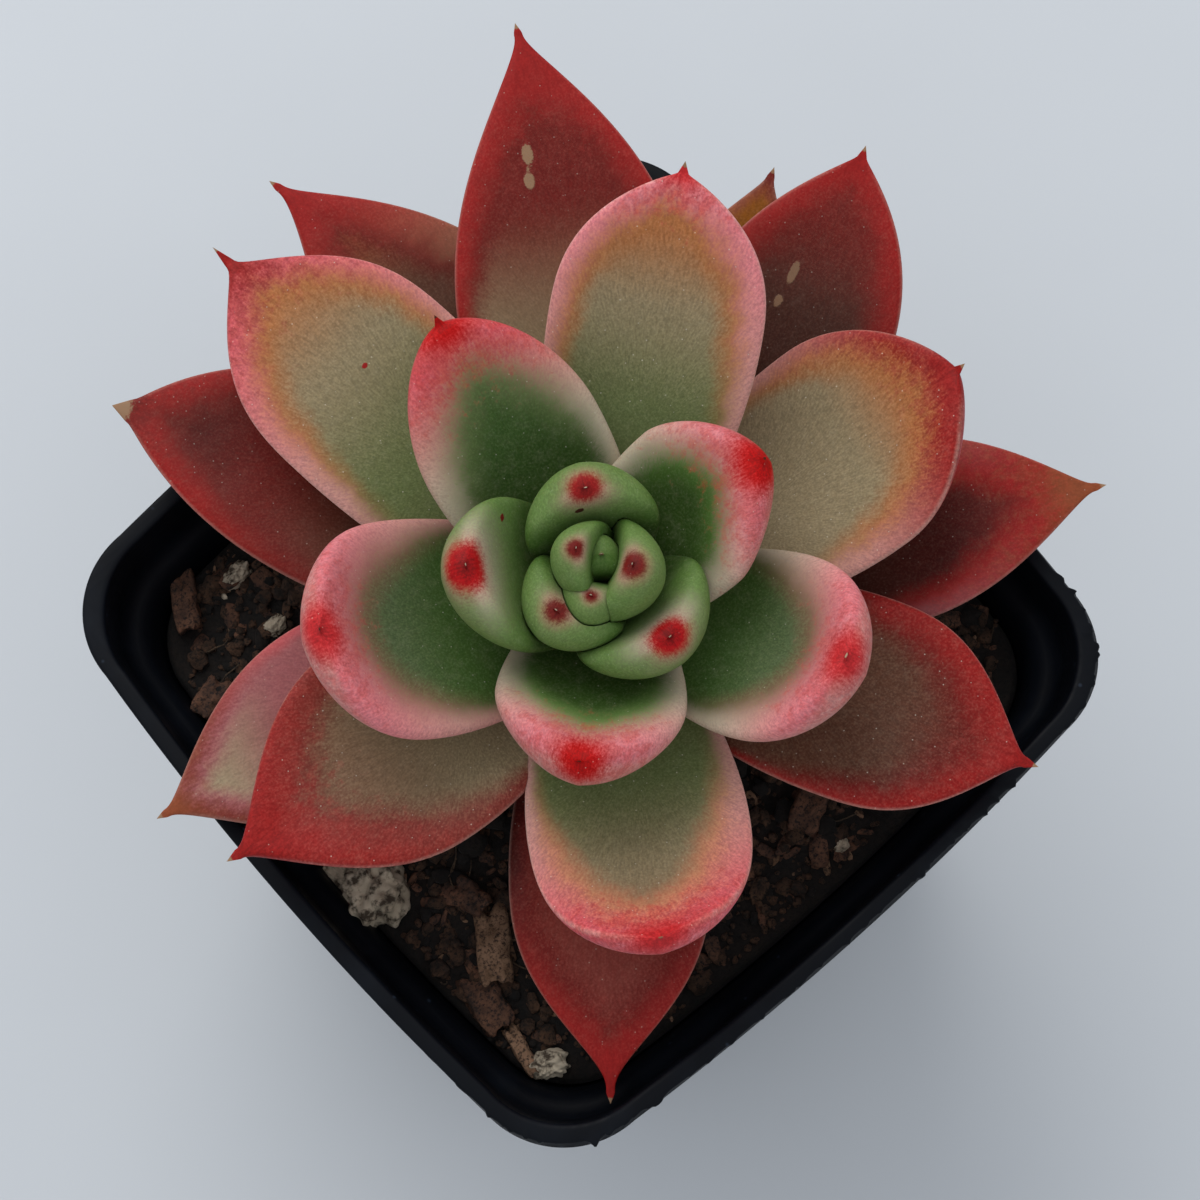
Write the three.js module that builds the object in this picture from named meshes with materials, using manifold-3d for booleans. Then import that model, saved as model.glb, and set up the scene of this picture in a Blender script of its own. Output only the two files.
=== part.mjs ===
// A potted echeveria: a rosette of fleshy leaves on a short stem, in a square nursery pot of soil.
// Millimetres, +Z up. The origin is the middle of the pot's base, and the pot's sides lie along X
// and Y. The plant is built in its own frame, with its origin at the crown of the stem.

import * as THREE from "three";
import { mergeVertices } from "three/addons/utils/BufferGeometryUtils.js";
import Module from "manifold-3d";

const wasm = await Module();
wasm.setup();

// Pot: half widths are measured at the middle of a side.
const potHeight = 70;
const rimHalf = 38;
const rimBand = 1.7;
const collarDepth = 7.5;
const collarLean = 0.6;
const ledgeHalf = 34;
const shoulderHalf = 33.4;
const baseHalf = 27;
const wall = 1.2;
const edgeRound = 0.4;
const ledgeRise = 0.4;
const ledgeRound = 0.8;
const coveRise = 1;
const rimInnerRise = 2.2;
const cornerShare = 0.255;
const bowShare = 0.032;
const drainHoleRadius = 4;
const drainHoleReach = 15.5;

// Soil.
const gap = 0.3;
const soilEdgeHeight = 60.4;
const soilCrownHeight = 61.6;
const soilRelief = 0.42;
const soilLevelBand = 6;
const soilEdgeStep = 0.8;
const soilEdgeDrop = 1;
const chipCount = 42;
const chipClearOfStem = 9;
const chipReach = 0.9;
const chipCornerCut = 1.72;
const chipLength = [1.8, 4.2];
const chipBreadth = [0.5, 0.9];
const chipFlatness = 0.8;
const chipTilt = 0.4;
const lumpTilt = 0.2;
const chipLift = 0.2;

// Stem: the plant stands a little off the pot's middle.
const crown = new THREE.Vector3(1.7, -0.3, 87);
const stemFoot = -36.7;
const stemRadius = 4.6;
const holeRise = 10;
const stemAround = 14;

// Rosette: each leaf stands a golden angle round from the one before it, and a step lower.
const goldenAngle = -137.5;
const firstAzimuth = 18.3;
const stepDown = 0.8;
const leafStart = 1;
const budStart = 0.3;
const leafAround = 12;
const leafAlong = 10;
const midribSteps = 60;

// The five ages of leaf, from the bud out. thick is the greatest thickness and share the part of it
// above the midrib; base and baseThick are the foot's shares of the width and thickness; widest is
// how far out the leaf is widest; blunt and taper shape the outline from there to the tip, and
// bluntDepth and taperDepth the thickness; keel sharpens the back, cup lifts the margins from
// cupStart on, and cusp is the drawn-out point at the tip.
const bud = {
  thick: 4, share: 0.42, base: 0.7, baseThick: 0.7, widest: 0.5, blunt: 2, taper: 0.5,
  taperDepth: 0.45, keel: 0.1, cup: 0.45, cusp: 0.5, cuspWidth: 0.3, start: budStart, colour: 0x6f9455,
};
const young = {
  thick: 5.2, share: 0.42, base: 0.62, baseThick: 0.7, widest: 0.55, blunt: 2.4, taper: 0.5,
  taperDepth: 0.45, keel: 0.12, cup: 0.4, cusp: 0.7, cuspWidth: 0.4, start: leafStart, colour: 0x7c9660,
};
const heart = {
  thick: 6, share: 0.42, base: 0.5, baseThick: 0.7, widest: 0.58, blunt: 2.4, taper: 0.5,
  taperDepth: 0.5, keel: 0.25, cup: 0.3, cusp: 0.9, cuspWidth: 0.5, start: leafStart, colour: 0xa8886e,
};
const outer = {
  thick: 5.2, share: 0.36, base: 0.42, baseThick: 0.7, widest: 0.56, blunt: 2.2, taper: 0.7,
  taperDepth: 0.6, keel: 0.3, cup: 0.26, cusp: 1.2, cuspWidth: 0.5, start: leafStart, colour: 0xb0735f,
};
const skirt = {
  thick: 4.4, share: 0.34, base: 0.35, baseThick: 0.7, widest: 0.52, blunt: 2, taper: 1.4,
  taperDepth: 0.9, keel: 0.35, cup: 0.16, cusp: 1, cuspWidth: 0.4, start: leafStart, colour: 0x8e3a36,
};
const bluntDepth = 2.8;
const sectionFullness = 3;
const cuspDepth = 0.6;
const evenCurl = 1.5;
const footRound = 0.04;
const cupStart = 0.25;
const cupFade = 0.3;
const footTwist = 0.3;

// The leaves from the youngest out. off is how many degrees a leaf stands off its place in the
// spiral; rise is the slope of its foot and curl how much steeper its tip is, in degrees; late holds
// the curl back towards the tip; swing is a sideways sweep and twist a roll, in degrees.
const leaves = [
  { age: bud, off: 35, length: 5.5, width: 4, rise: 83, curl: 10 },
  { age: bud, off: -29, length: 7.5, width: 6, rise: 48, curl: 55, thick: 4, start: 0.8 },
  { age: bud, off: 22, length: 10, width: 7.5, rise: 62, curl: 42, swing: 6, thick: 3.8 },
  { age: bud, off: -24, length: 10.5, width: 9.5, rise: 54, curl: 56, thick: 4.6 },
  { age: young, off: -4, length: 10, width: 10, rise: 35, curl: 62, swing: 5 },
  { age: young, off: 10.5, length: 13.5, width: 12, rise: 34, curl: 79 },
  { age: young, off: -1, length: 12.5, width: 13.5, rise: 21, curl: 70, swing: -5 },
  { age: young, off: 2.5, length: 18, width: 14, rise: 16, curl: 83, swing: 14 },
  {
    age: heart, off: 0.5, length: 20.5, width: 16, rise: 19, curl: 42,
    swing: -23, base: 0.75, blunt: 1.6, taper: 0.6,
  },
  {
    age: heart, off: 2.5, length: 21.5, width: 17, rise: 3, curl: 77,
    swing: -5, base: 0.62, widest: 0.55, blunt: 2, taper: 0.7,
  },
  {
    age: heart, off: -1, length: 30, width: 17, rise: 18, curl: 32,
    base: 0.66, widest: 0.53, blunt: 1.9, taper: 0.55, cusp: 1.2,
  },
  {
    age: heart, off: -8, length: 29, width: 18, rise: 4, curl: 95,
    late: 2.2, swing: -4, blunt: 2.1, taper: 0.4,
  },
  {
    age: heart, off: -16.5, length: 31.5, width: 20.5, rise: 6, curl: 90,
    late: 2.4, swing: 1, base: 0.6, taper: 0.4,
  },
  {
    age: outer, off: 6, length: 40.5, width: 19.5, rise: 14.5, curl: 27,
    widest: 0.62, blunt: 2.7, taper: 0.8,
  },
  {
    age: outer, off: -17, length: 37.5, width: 20, rise: -5, curl: 94,
    late: 2.6, swing: 3, blunt: 2.3, taper: 0.5,
  },
  {
    age: outer, off: -19.5, length: 48.5, width: 20.5, rise: 6, curl: 8,
    base: 0.55, widest: 0.57, blunt: 3, taper: 1.2, cusp: 2.2,
  },
  {
    age: outer, off: 10, length: 40.5, width: 22, rise: 3.5, curl: 48,
    late: 2, swing: 3, twist: -12, widest: 0.66, blunt: 2.1, taper: 0.7,
  },
  {
    age: outer, off: -26.5, length: 41, width: 21.5, rise: 5, curl: 10,
    widest: 0.53, blunt: 2.3, taper: 1.3,
  },
  {
    age: skirt, off: -11, length: 55.5, width: 22, rise: 10.5, curl: 3,
    swing: 12, widest: 0.48, blunt: 2.3, taper: 1.25,
  },
  {
    age: outer, off: 11.5, length: 41.5, width: 19.5, rise: 7.5, curl: -4,
    widest: 0.57, blunt: 2.8, taper: 1.3,
  },
  {
    age: skirt, off: -38, length: 49.5, width: 20.5, rise: 5.5, curl: 2,
    swing: 13.5, widest: 0.47, blunt: 2.3, taper: 0.8, cusp: 1.7, cuspWidth: 1.15,
  },
  {
    age: skirt, off: 1, length: 50.5, width: 20, rise: 6, curl: 14,
    swing: 18, widest: 0.51, blunt: 2.9, taper: 1,
  },
  {
    age: skirt, off: -3.5, length: 44, width: 18.5, rise: 5, curl: -18,
    swing: -2, blunt: 2.7, taper: 1.7,
  },
  {
    age: skirt, off: -22.5, length: 53, width: 21, rise: 7.5, curl: 3,
    swing: 32, blunt: 2, taper: 1.3,
  },
  {
    age: skirt, off: 17.5, length: 48, width: 18, rise: 8.5, curl: -2,
    swing: -8, widest: 0.54, blunt: 2.3, taper: 1.2,
  },
  {
    age: skirt, off: -22.5, length: 45, width: 20.5, rise: 5.5, curl: 8,
    swing: 14, blunt: 2.2, taper: 1.25,
  },
  { age: skirt, off: -15.5, length: 46.5, width: 18, rise: 7, curl: 10, blunt: 1.8, taper: 1.05 },
];

const radians = THREE.MathUtils.degToRad;
const clamp = THREE.MathUtils.clamp;
const lerp = THREE.MathUtils.lerp;

// A closed geometry as a solid that can be joined and cut.
function solidOf(geometry) {
  const bare = new THREE.BufferGeometry();
  bare.setIndex(geometry.index);
  bare.setAttribute("position", geometry.attributes.position);
  const merged = mergeVertices(bare);
  return new wasm.Manifold(
    new wasm.Mesh({
      numProp: 3,
      vertProperties: new Float32Array(merged.attributes.position.array),
      triVerts: new Uint32Array(merged.index.array),
    }),
  );
}

// A solid's vertices and triangles as a geometry again.
function geometryOf(solid) {
  const mesh = solid.getMesh();
  const geometry = new THREE.BufferGeometry();
  geometry.setAttribute("position", new THREE.BufferAttribute(mesh.vertProperties, 3));
  geometry.setIndex(new THREE.BufferAttribute(mesh.triVerts, 1));
  geometry.computeVertexNormals();
  return geometry;
}

// The largest of the bodies that a cut leaves: the scraps beside it are dropped.
function largestBody(solid) {
  const bodies = solid.decompose();
  bodies.sort((a, b) => b.volume() - a.volume());
  return bodies[0];
}

// The same random numbers on every run, from 0 to 1.
function seededRandom(seed) {
  let state = seed;
  return () => {
    state = (state * 1103515245 + 12345) % 2147483648;
    return state / 2147483648;
  };
}

// The pot's outline from above, for a half width of 1: rounded corners joined by bowed sides.
const cornerSteps = 6;
const sideSteps = 4;
const quarterSteps = cornerSteps + sideSteps;
const outlineSteps = 4 * quarterSteps;
function outlinePoint(step) {
  const quarter = Math.floor((step % outlineSteps) / quarterSteps);
  const inQuarter = step % quarterSteps;
  const cornerCentre = 1 - bowShare - cornerShare;
  const point = new THREE.Vector2();
  if (inQuarter <= cornerSteps) {
    const turn = (Math.PI / 2) * (inQuarter / cornerSteps);
    point.set(cornerCentre + cornerShare * Math.cos(turn), cornerCentre + cornerShare * Math.sin(turn));
  } else {
    const across = 1 - (2 * (inQuarter - cornerSteps)) / sideSteps;
    const bow = bowShare * (1 - across * across);
    point.set(cornerCentre * across, 1 - bowShare + bow);
  }
  return point.rotateAround(new THREE.Vector2(), (Math.PI / 2) * quarter);
}

// A profile of half widths and heights turned round as a lathe turns it, but along the pot's
// outline. lift, where it is given, raises each point by its place.
function squareTurned(profile, lift = () => 0) {
  const points = profile.map(([half, height]) => new THREE.Vector2(half, height));
  const geometry = new THREE.LatheGeometry(points, outlineSteps);
  const position = geometry.attributes.position;
  for (let i = 0; i < position.count; i++) {
    const half = points[i % points.length].x;
    const height = points[i % points.length].y;
    const corner = outlinePoint(Math.floor(i / points.length));
    const x = corner.x * half;
    const y = corner.y * half;
    position.setXYZ(i, x, y, height + lift(x, y, half, height));
  }
  return geometry;
}

// Half width of the pot's room at a height below the ledge.
function roomHalf(height) {
  return lerp(baseHalf - wall, shoulderHalf, height / (potHeight - collarDepth));
}

// Pot: one moulded shell with a collar that steps out over the tapered body.
function makePot() {
  const collarFoot = potHeight - collarDepth;
  const collarHalf = rimHalf - collarLean;
  const rimInner = rimHalf - rimBand;
  const shell = squareTurned([
    [0, 0],
    [baseHalf - 2 * edgeRound, 0],
    [baseHalf, 2 * edgeRound],
    [shoulderHalf + wall, collarFoot - 2 * edgeRound],
    [collarHalf - edgeRound, collarFoot - edgeRound],
    [collarHalf, collarFoot],
    [rimHalf, potHeight - edgeRound],
    [rimHalf - edgeRound, potHeight],
    [rimInner + edgeRound, potHeight],
    [rimInner, potHeight - edgeRound],
    [rimInner - collarLean, collarFoot + rimInnerRise],
    [rimInner - 2 * collarLean, collarFoot + coveRise],
    [ledgeHalf, collarFoot + ledgeRise],
    [shoulderHalf, collarFoot - ledgeRound],
    [roomHalf(wall + edgeRound), wall + edgeRound],
    [roomHalf(wall) - edgeRound, wall],
    [0, wall],
  ]);
  let pot = solidOf(shell);
  for (const [sideX, sideY] of [[1, 1], [-1, 1], [-1, -1], [1, -1]]) {
    const drain = new THREE.CylinderGeometry(drainHoleRadius, drainHoleRadius, 6 * wall, 16);
    drain.rotateX(Math.PI / 2);
    drain.translate(sideX * drainHoleReach, sideY * drainHoleReach, 0);
    pot = pot.subtract(solidOf(drain));
  }
  return pot;
}

// The uneven top of the soil, as a sum of slow waves that dies out at the wall and round the stem.
function soilLift(x, y, half, height) {
  if (height < soilEdgeHeight) {
    return 0;
  }
  const fade = clamp((roomHalf(soilEdgeHeight) - half) / soilLevelBand, 0, 1);
  const waves = Math.sin(x * 0.31 + 1) * Math.cos(y * 0.27) + Math.sin(x * 0.17 - y * 0.41 + 2);
  return soilRelief * fade * waves;
}

// One lump or chip: a faceted ball, drawn out, turned and half sunk in the soil.
function soilChip(x, y, long, wide, high, turn, tilt) {
  const chip = new THREE.IcosahedronGeometry(0.5, 0);
  chip.scale(long, wide, high);
  chip.rotateY(tilt);
  chip.rotateZ(turn);
  const share = Math.max(Math.abs(x), Math.abs(y)) / roomHalf(soilEdgeHeight);
  const ground = lerp(soilCrownHeight, soilEdgeHeight, share * share);
  chip.translate(x, y, ground + chipLift * high);
  return solidOf(chip);
}

// The lumps that stand out in the soil: place, length, width, height and turn in degrees.
const lumps = [
  { x: -29, y: -5, long: 8, wide: 5.5, high: 4, turn: 80 },
  { x: -25, y: -14.5, long: 7.5, wide: 3.6, high: 2.6, turn: 65 },
  { x: 4, y: -28.5, long: 4.5, wide: 3.4, high: 3, turn: 20 },
  { x: -26, y: 29.5, long: 6, wide: 3.6, high: 3, turn: 70 },
  { x: -19, y: 28.5, long: 4, wide: 3, high: 2.4, turn: 10 },
  { x: -27, y: -24.5, long: 5, wide: 3.4, high: 2.6, turn: 140 },
  { x: -29.5, y: -17, long: 6, wide: 3, high: 2, turn: 120 },
];

// Soil: one body that fills the pot, with its chips fused in and a plain hole for the stem.
function makeSoil() {
  const edge = roomHalf(soilEdgeHeight) - gap;
  const profile = [
    [0, wall + gap],
    [roomHalf(wall) - edgeRound - gap, wall + gap],
    [edge, soilEdgeHeight - soilEdgeDrop],
    [edge - soilEdgeStep, soilEdgeHeight],
  ];
  const rings = 6;
  for (let ring = 1; ring <= rings; ring++) {
    const share = 1 - ring / rings;
    profile.push([(edge - soilEdgeStep) * share, lerp(soilCrownHeight, soilEdgeHeight, share * share)]);
  }
  let soil = solidOf(squareTurned(profile, soilLift));
  for (const lump of lumps) {
    const chip = soilChip(lump.x, lump.y, lump.long, lump.wide, lump.high, radians(lump.turn), lumpTilt);
    soil = soil.add(chip);
  }
  const random = seededRandom(27);
  const reach = edge * chipReach;
  let placed = 0;
  while (placed < chipCount) {
    const x = lerp(-reach, reach, random());
    const y = lerp(-reach, reach, random());
    const long = lerp(...chipLength, random());
    const wide = long * lerp(...chipBreadth, random());
    const turn = random() * Math.PI;
    const tilt = lerp(-chipTilt, chipTilt, random());
    const farOut = Math.abs(x) + Math.abs(y) > chipCornerCut * reach;
    if (farOut || Math.hypot(x - crown.x, y - crown.y) < chipClearOfStem) {
      continue;
    }
    soil = soil.add(soilChip(x, y, long, wide, wide * chipFlatness, turn, tilt));
    placed += 1;
  }
  const holeDepth = soilCrownHeight + holeRise - (crown.z + stemFoot - gap);
  const hole = new THREE.CylinderGeometry(stemRadius + gap, stemRadius + gap, holeDepth, stemAround);
  hole.rotateX(Math.PI / 2);
  hole.translate(crown.x, crown.y, crown.z + stemFoot - gap + holeDepth / 2);
  return largestBody(soil.subtract(solidOf(hole)));
}

// Stem: a short woody stem that narrows to the crown. grow widens it all round.
function makeStem(grow = 0) {
  const points = [
    new THREE.Vector2(0, stemFoot - grow),
    new THREE.Vector2(stemRadius - 0.6 + grow, stemFoot - grow),
    new THREE.Vector2(stemRadius - 0.2 + grow, stemFoot + 12),
    new THREE.Vector2(stemRadius + grow, -16),
    new THREE.Vector2(stemRadius - 0.4 + grow, -7),
    new THREE.Vector2(stemRadius - 1.6 + grow, -2.5),
    new THREE.Vector2(stemRadius - 3 + grow, 0),
    new THREE.Vector2(0, 0.6 + grow),
  ];
  const geometry = new THREE.LatheGeometry(points, stemAround);
  geometry.rotateX(Math.PI / 2);
  return solidOf(geometry);
}

// The line of a leaf's midrib: places and headings at even steps from its foot to its tip.
function midribOf(leaf, length) {
  const stations = [];
  const place = new THREE.Vector3(leaf.start, 0, 0);
  for (let step = 0; step <= midribSteps; step++) {
    const along = step / midribSteps;
    const climb = radians(leaf.rise + leaf.curl * along ** leaf.late);
    const sweep = radians(leaf.swing) * along ** evenCurl;
    const flat = Math.cos(climb);
    const heading = new THREE.Vector3(flat * Math.cos(sweep), flat * Math.sin(sweep), Math.sin(climb));
    if (step > 0) {
      const before = stations[step - 1].heading;
      place.addScaledVector(before.clone().add(heading), length / midribSteps / 2);
    }
    stations.push({ place: place.clone(), heading, sweep });
  }
  return stations;
}

// The leaf's half width, thickness and lift of the margins at a share of its length.
function sectionOf(leaf, along, grow) {
  const cuspShare = leaf.cusp / leaf.length;
  const inner = clamp(along / leaf.widest, 0, 1);
  const outward = clamp((along - leaf.widest) / (1 - cuspShare - leaf.widest), 0, 1);
  const swell = Math.sin((Math.PI / 2) * inner);
  let breadth = lerp(leaf.base, 1, swell);
  let depth = lerp(leaf.baseThick, 1, swell);
  if (along >= leaf.widest) {
    breadth = (1 - outward ** leaf.blunt) ** leaf.taper;
    depth = (1 - outward ** bluntDepth) ** leaf.taperDepth;
  }
  const point = leaf.cuspWidth * clamp((1 - along) / cuspShare, 0, 1);
  const foot = Math.sqrt(clamp(along / footRound, 0, 1));
  const footFade = THREE.MathUtils.smoothstep(along, 0, cupStart);
  return {
    halfWidth: foot * Math.hypot((leaf.width / 2 + grow) * breadth, point),
    thickness: foot * Math.hypot((leaf.thick + 2 * grow) * depth, cuspDepth * point),
    marginLift: leaf.cup * breadth * footFade * (1 - cupFade * outward) * (leaf.width / 2 + grow),
  };
}

// A leaf drawn from a ball: the ball's poles are the leaf's foot and tip, and its equator, seen from
// the tip, is the leaf's cross-section, with a flat face above and a keeled back below.
function leafGeometry(leaf, grow = 0) {
  const geometry = new THREE.SphereGeometry(1, leafAround, leafAlong);
  const position = geometry.attributes.position;
  const midrib = midribOf(leaf, leaf.length + 2 * grow);
  const ball = new THREE.Vector3();
  for (let i = 0; i < position.count; i++) {
    ball.fromBufferAttribute(position, i);
    const along = (1 - ball.y) / 2;
    const turn = Math.atan2(ball.z, ball.x);
    const across = Math.cos(turn);
    const step = Math.min(Math.floor(along * midribSteps), midribSteps - 1);
    const share = along * midribSteps - step;
    const place = midrib[step].place.clone().lerp(midrib[step + 1].place, share);
    const heading = midrib[step].heading.clone().lerp(midrib[step + 1].heading, share).normalize();
    const sweep = lerp(midrib[step].sweep, midrib[step + 1].sweep, share);
    const side = new THREE.Vector3(-Math.sin(sweep), Math.cos(sweep), 0);
    side.applyAxisAngle(heading, radians(leaf.twist) * lerp(footTwist, 1, along));
    const up = new THREE.Vector3().crossVectors(heading, side);

    const section = sectionOf(leaf, along, grow);
    const round = Math.sqrt(Math.max(0, 1 - Math.abs(across) ** sectionFullness));
    const keeled = lerp(round, 1 - Math.abs(across), leaf.keel);
    const rise = Math.sin(turn) >= 0 ? leaf.share * round : (leaf.share - 1) * keeled;
    place.addScaledVector(side, section.halfWidth * across);
    place.addScaledVector(up, section.thickness * rise + section.marginLift * across * across);
    position.setXYZ(i, place.x, place.y, place.z);
  }
  geometry.rotateZ(radians(leaf.azimuth));
  geometry.translate(0, 0, leaf.height);
  return geometry;
}

// A plain mesh of a solid, in the colour of what it is.
function meshOf(name, solid, colour, roughness) {
  const material = new THREE.MeshStandardMaterial({ color: colour, roughness, metalness: 0 });
  const mesh = new THREE.Mesh(geometryOf(solid), material);
  mesh.name = name;
  return mesh;
}

const plant = new THREE.Group();
plant.position.copy(crown);
plant.add(meshOf("stem", makeStem(), 0x7a5a3c, 0.8));

// Each leaf gives way to the stem and to the younger leaves that lie over it, by the gap.
let taken = makeStem(gap);
leaves.forEach((entry, order) => {
  const leaf = {
    late: evenCurl,
    swing: 0,
    twist: 0,
    ...entry.age,
    ...entry,
    azimuth: firstAzimuth + goldenAngle * order + entry.off,
    height: -stepDown * order,
  };
  const blade = largestBody(solidOf(leafGeometry(leaf)).subtract(taken));
  taken = taken.add(solidOf(leafGeometry(leaf, gap)));
  const name = "leaf_" + String(order + 1).padStart(2, "0");
  plant.add(meshOf(name, blade, entry.age.colour, 0.5));
});

const pottedPlant = new THREE.Group();
pottedPlant.add(meshOf("pot", makePot(), 0x1d1f24, 0.5));
pottedPlant.add(meshOf("soil", makeSoil(), 0x2c231c, 0.95));
pottedPlant.add(plant);

export default pottedPlant;
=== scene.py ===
"""A potted echeveria, seen from above on a pale table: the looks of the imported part.

The pot comes first, then the soil that fills it, the stem that stands in the soil, and the leaves
from the youngest in the heart to the oldest at the skirt. The stage, the light and the camera end it.
"""

import math
import random

import bmesh
import bpy
import numpy as np
from mathutils import Matrix, Vector, kdtree, noise


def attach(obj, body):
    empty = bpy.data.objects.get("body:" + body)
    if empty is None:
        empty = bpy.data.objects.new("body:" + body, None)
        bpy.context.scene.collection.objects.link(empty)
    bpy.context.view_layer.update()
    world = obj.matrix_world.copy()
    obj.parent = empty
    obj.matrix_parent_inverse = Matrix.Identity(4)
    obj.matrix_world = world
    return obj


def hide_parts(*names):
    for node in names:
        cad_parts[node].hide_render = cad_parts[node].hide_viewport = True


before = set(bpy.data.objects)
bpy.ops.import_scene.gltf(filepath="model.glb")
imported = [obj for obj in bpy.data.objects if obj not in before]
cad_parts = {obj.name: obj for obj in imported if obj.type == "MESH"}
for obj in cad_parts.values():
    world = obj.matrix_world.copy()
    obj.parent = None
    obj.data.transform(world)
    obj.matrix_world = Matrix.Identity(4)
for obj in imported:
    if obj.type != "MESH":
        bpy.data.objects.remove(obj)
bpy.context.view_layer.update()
MM = 0.001


# The pot
# A square nursery pot, injection moulded in black polypropylene: a flat rim over a collar, a rounded
# ledge inside, a tapered body and a base with four drain holes. The rim's outer edge keeps ragged
# flash where the mould closed. Its sizes are in millimetres, half widths at the middle of a side.
pot_height = 70
rim_half = 38
rim_band = 1.7
collar_depth = 7.5
collar_lean = 0.6
ledge_half = 34
shoulder_half = 33.4
base_half = 27
wall = 1.2
corner_share = 0.255
bow_share = 0.032
drain_radius = 4
drain_reach = 15.5
pot_around = 960


def linear(hex_colour):
    """An sRGB hex colour as a linear one with full alpha."""
    channels = [int(hex_colour[i:i + 2], 16) / 255 for i in (1, 3, 5)]
    return [c / 12.92 if c <= 0.04045 else ((c + 0.055) / 1.055) ** 2.4 for c in channels] + [1.0]


def pattern_scale(size_mm):
    """The scale at which a pattern on Object coordinates repeats at a size in millimetres."""
    return 1 / (size_mm * MM)


def add_node(tree, kind, inputs=(), **settings):
    """A shader node with its settings. inputs gives each socket a value, another node, which stands
    for its first output, or one of a node's outputs."""
    made = tree.nodes.new("ShaderNode" + kind)
    for name, value in settings.items():
        setattr(made, name, value)
    for socket, value in dict(inputs).items():
        if isinstance(value, bpy.types.Node):
            value = value.outputs[0]
        if isinstance(value, bpy.types.NodeSocket):
            tree.links.new(value, made.inputs[socket])
        else:
            made.inputs[socket].default_value = value
    return made


def new_material(name):
    """A material with an empty node tree."""
    material = bpy.data.materials.new(name)
    material.use_nodes = True
    material.node_tree.nodes.clear()
    return material


# The sockets of a Mix node: its factor, its two numbers, its two colours, and the colour it gives.
FACTOR, FIRST, SECOND, UNDER, OVER, MIXED = 0, 2, 3, 6, 7, 2


def square_outline(steps):
    """Points round the pot from above, for a half width of 1: rounded corners and bowed sides."""
    centre = 1 - bow_share - corner_share
    quarter = []
    corner_steps = steps // 12
    side_steps = steps // 4 - corner_steps
    for step in range(corner_steps):
        turn = math.pi / 2 * step / corner_steps
        quarter.append((centre + corner_share * math.cos(turn), centre + corner_share * math.sin(turn)))
    for step in range(side_steps):
        across = 1 - 2 * step / side_steps
        quarter.append((centre * across, 1 - bow_share + bow_share * (1 - across * across)))
    points = np.array(quarter)
    turned = [points]
    for _ in range(3):
        points = np.stack([-points[:, 1], points[:, 0]], axis=1)
        turned.append(points)
    return np.concatenate(turned)


def rounded(profile, steps=4):
    """A profile of (half width, height, radius) with its corners rounded."""
    points = []
    for index, (half, height, radius) in enumerate(profile):
        corner = np.array([half, height])
        if radius == 0 or index in (0, len(profile) - 1):
            points.append(corner)
            continue
        before = np.array(profile[index - 1][:2]) - corner
        after = np.array(profile[index + 1][:2]) - corner
        start = corner + before / np.linalg.norm(before) * radius
        end = corner + after / np.linalg.norm(after) * radius
        for step in range(steps + 1):
            share = step / steps
            points.append((1 - share) ** 2 * start + 2 * share * (1 - share) * corner + share ** 2 * end)
    return np.array(points)


def wrapped(name, rings):
    """A sheet of squares laid round rings of points in millimetres, sewn at its seam and poles."""
    rows, around = rings.shape[:2]
    bpy.ops.object.select_all(action="DESELECT")
    bpy.ops.mesh.primitive_grid_add(x_subdivisions=around, y_subdivisions=rows - 1, size=1)
    piece = bpy.context.object
    piece.name = piece.data.name = name
    closed = np.concatenate([rings, rings[:, :1]], axis=1) * MM
    piece.data.vertices.foreach_set("co", closed.reshape(-1))
    bpy.ops.object.mode_set(mode="EDIT")
    bpy.ops.mesh.select_all(action="SELECT")
    bpy.ops.mesh.remove_doubles(threshold=0.002 * MM)
    bpy.ops.object.mode_set(mode="OBJECT")
    face_outward(piece)
    return piece


def face_outward(piece):
    """Turns a closed mesh's faces outward, and smooths their shading."""
    shape = bmesh.new()
    shape.from_mesh(piece.data)
    if shape.calc_volume(signed=True) < 0:
        bmesh.ops.reverse_faces(shape, faces=shape.faces)
    for face in shape.faces:
        face.smooth = True
    shape.to_mesh(piece.data)
    shape.free()


def select_only(piece):
    """Selects one piece and nothing else."""
    bpy.ops.object.select_all(action="DESELECT")
    piece.select_set(True)
    bpy.context.view_layer.objects.active = piece


def apply_modifier(piece, kind, **settings):
    """Adds a modifier with its settings and applies it."""
    select_only(piece)
    modifier = piece.modifiers.new(kind.lower(), kind)
    for name, value in settings.items():
        setattr(modifier, name, value)
    bpy.ops.object.modifier_apply(modifier=modifier.name)


def room_half(height):
    """Half width of the pot's room at a height below the ledge."""
    return base_half - wall + (shoulder_half - base_half + wall) * height / (pot_height - collar_depth)


collar_foot = pot_height - collar_depth
rim_inner = rim_half - rim_band
pot_profile = rounded([
    (0, 0, 0),
    (base_half, 0, 0.8),
    (shoulder_half + wall, collar_foot - 0.5, 0.5),
    (rim_half - collar_lean, collar_foot - 0.3, 0.5),
    (rim_half - 0.12, pot_height - 1.3, 0),
    (rim_half - 0.06, pot_height - 0.8, 0),
    (rim_half, pot_height, 0.35),
    (rim_inner, pot_height, 0.45),
    (rim_inner - collar_lean, collar_foot + 1.6, 1.1),
    (ledge_half - 0.2, collar_foot + 0.7, 1.0),
    (shoulder_half - 0.2, collar_foot - 1.4, 0.6),
    (room_half(wall), wall, 0.6),
    (0, wall, 0),
])
outline = square_outline(pot_around)
pot_rings = np.zeros((len(pot_profile), len(outline), 3))
pot_rings[..., :2] = outline[None] * pot_profile[:, None, :1]
pot_rings[..., 2] = pot_profile[:, 1:]

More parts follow.
